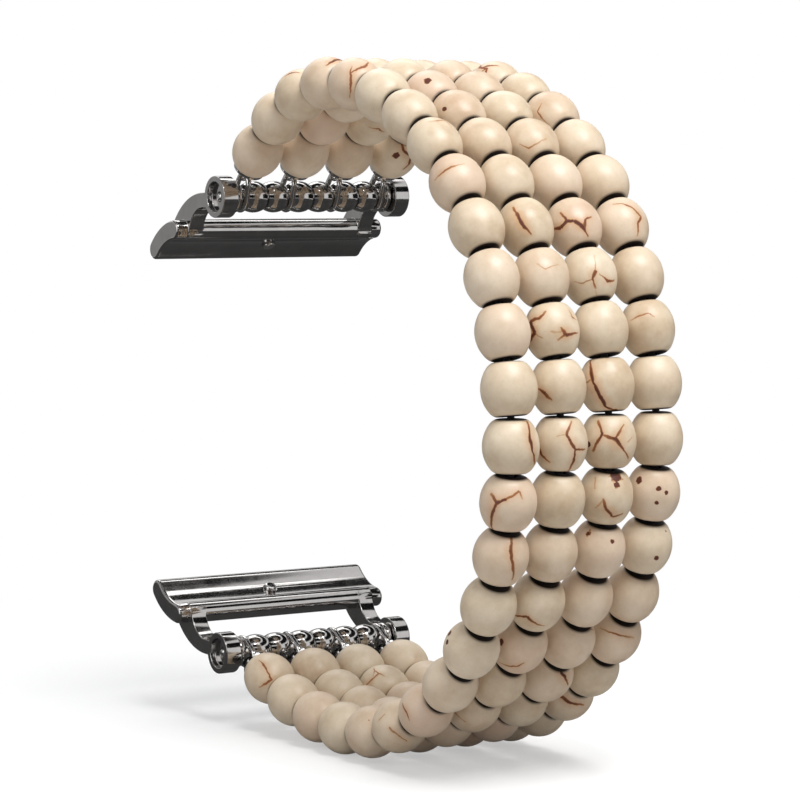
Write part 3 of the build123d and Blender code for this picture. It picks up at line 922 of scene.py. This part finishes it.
def make_floor():
    """Pale floor that keeps the band's shadow and fades to white away from it."""
    height = cad_low.z
    sides = [(-1, -1), (1, -1), (1, 1), (-1, 1)]
    corners = [(x * FLOOR_REACH, y * FLOOR_REACH, height) for x, y in sides]
    material = bpy.data.materials.new("pale_floor")
    tree, shader = node_tree(material)
    grain = add(tree, "ShaderNodeTexNoise", inputs={"Scale": 40.0, "Detail": 2.0})
    tone = ramp(tree, grain.outputs["Fac"], [(0.3, grey(0.52)), (0.7, grey(0.56))])
    tree.links.new(tone, shader.inputs["Base Color"])
    shader.inputs["Roughness"].default_value = 0.9
    shader.inputs["Specular IOR Level"].default_value = 0.1
    seen = seen_directly(tree)
    glow = add(tree, "ShaderNodeEmission")
    tree.links.new(calc(tree, "MULTIPLY", seen, FLOOR_GLOW), glow.inputs["Strength"])
    near = add(tree, "ShaderNodeAddShader")
    tree.links.new(shader.outputs[0], near.inputs[0])
    tree.links.new(glow.outputs[0], near.inputs[1])
    middle = (0, AIM.y, height)
    reach = add(tree, "ShaderNodeVectorMath", operation="DISTANCE", inputs={1: middle})
    tree.links.new(add(tree, "ShaderNodeNewGeometry").outputs["Position"], reach.inputs[0])
    far = add(tree, "ShaderNodeMapRange", interpolation_type="SMOOTHSTEP",
              inputs={"From Min": FLOOR_NEAR, "From Max": FLOOR_FAR})
    tree.links.new(reach.outputs["Value"], far.inputs["Value"])
    white = add(tree, "ShaderNodeEmission")
    both = add(tree, "ShaderNodeMixShader")
    tree.links.new(calc(tree, "MULTIPLY", far.outputs[0], seen), both.inputs[0])
    tree.links.new(near.outputs[0], both.inputs[1])
    tree.links.new(white.outputs[0], both.inputs[2])
    tree.links.new(both.outputs[0], tree.nodes["Material Output"].inputs["Surface"])
    floor = new_object("floor", mesh_from("floor", corners, [(0, 1, 2, 3)]), material)


def mirror_only(card):
    """A card that only gloss shows."""
    card.visible_camera = False
    card.visible_diffuse = False
    card.visible_transmission = False
    card.visible_shadow = False


def card_paper(name, low_tone, high_tone):
    """Card that looks the same from every side, between two grey tones."""
    material = bpy.data.materials.new(name)
    tree, shader = node_tree(material)
    weave = add(tree, "ShaderNodeTexNoise", inputs={"Scale": 9.0, "Detail": 2.0})
    tone = ramp(tree, weave.outputs["Fac"], [(0.3, grey(low_tone)), (0.7, grey(high_tone))])
    shader.inputs["Base Color"].default_value = grey(0)
    shader.inputs["Specular IOR Level"].default_value = 0.0
    tree.links.new(tone, shader.inputs["Emission Color"])
    shader.inputs["Emission Strength"].default_value = 1.0
    return material


def ring_card(name, low_angle, high_angle, first, last, material):
    """Curved card about the band, between two elevations and two azimuths."""
    points = []
    for step in range(CARD_STEPS + 1):
        azimuth = first + (last - first) * step / CARD_STEPS
        for elevation in (low_angle, high_angle):
            points.append(AIM + back_direction(azimuth, elevation) * CARD_DISTANCE)
    faces = [(2 * i, 2 * i + 2, 2 * i + 3, 2 * i + 1) for i in range(CARD_STEPS)]
    mirror_only(new_object(name, mesh_from(name, points, faces), material))


def mirror_cards():
    """Cards round the band, which only its polished metal mirrors."""
    black_paper = card_paper("card_black", 0.004, 0.02)
    grey_paper = card_paper("card_grey", 0.30, 0.38)
    low_paper = card_paper("card_low_grey", 0.06, 0.09)
    for number, card in enumerate(DARK_CARDS):
        ring_card(f"dark_card_{number}", *card, black_paper)
    for number, card in enumerate(GREY_CARDS):
        ring_card(f"grey_card_{number}", *card, grey_paper)
    height = cad_low.z + LOW_CARD_RISE
    rim = [2 * pi * side / LOW_CARD_SIDES for side in range(LOW_CARD_SIDES)]
    points = [(LOW_CARD_RADIUS * cos(a), AIM.y + LOW_CARD_RADIUS * sin(a), height) for a in rim]
    disc = mesh_from("low_card", points, [tuple(range(LOW_CARD_SIDES))])
    mirror_only(new_object("low_card", disc, low_paper))


def soft_lamp(name, azimuth, elevation, distance, size, power):
    """Square area lamp that looks at the band's middle."""
    light = bpy.data.lights.new(name, "AREA")
    light.size = size
    light.energy = power
    lamp = bpy.data.objects.new(name, light)
    bpy.context.scene.collection.objects.link(lamp)
    back = back_direction(azimuth, elevation)
    lamp.location = AIM + back * distance
    lamp.rotation_euler = (-back).to_track_quat("-Z", "Y").to_euler()


def make_camera():
    """Camera at the fitted angle, shifted so that its aim falls on its own pixel."""
    data = bpy.data.cameras.new("camera")
    camera = bpy.data.objects.new("camera", data)
    bpy.context.scene.collection.objects.link(camera)
    back = back_direction(AZIMUTH, ELEVATION)
    camera.location = camera_place
    camera.rotation_euler = (-back).to_track_quat("-Z", "Y").to_euler()
    data.sensor_width = SENSOR
    data.lens = SENSOR * FOCAL_PIXELS / IMAGE_PIXELS
    data.shift_x = (IMAGE_PIXELS / 2 - AIM_PIXEL[0]) / IMAGE_PIXELS
    data.shift_y = (AIM_PIXEL[1] - IMAGE_PIXELS / 2) / IMAGE_PIXELS
    data.clip_start = NEAREST_SEEN
    data.clip_end = FARTHEST_SEEN
    bpy.context.scene.camera = camera


make_world()
make_floor()
mirror_cards()
make_camera()
for name, lamp in LAMPS.items():
    soft_lamp(name, *lamp)
bpy.context.scene.view_settings.view_transform = "Standard"
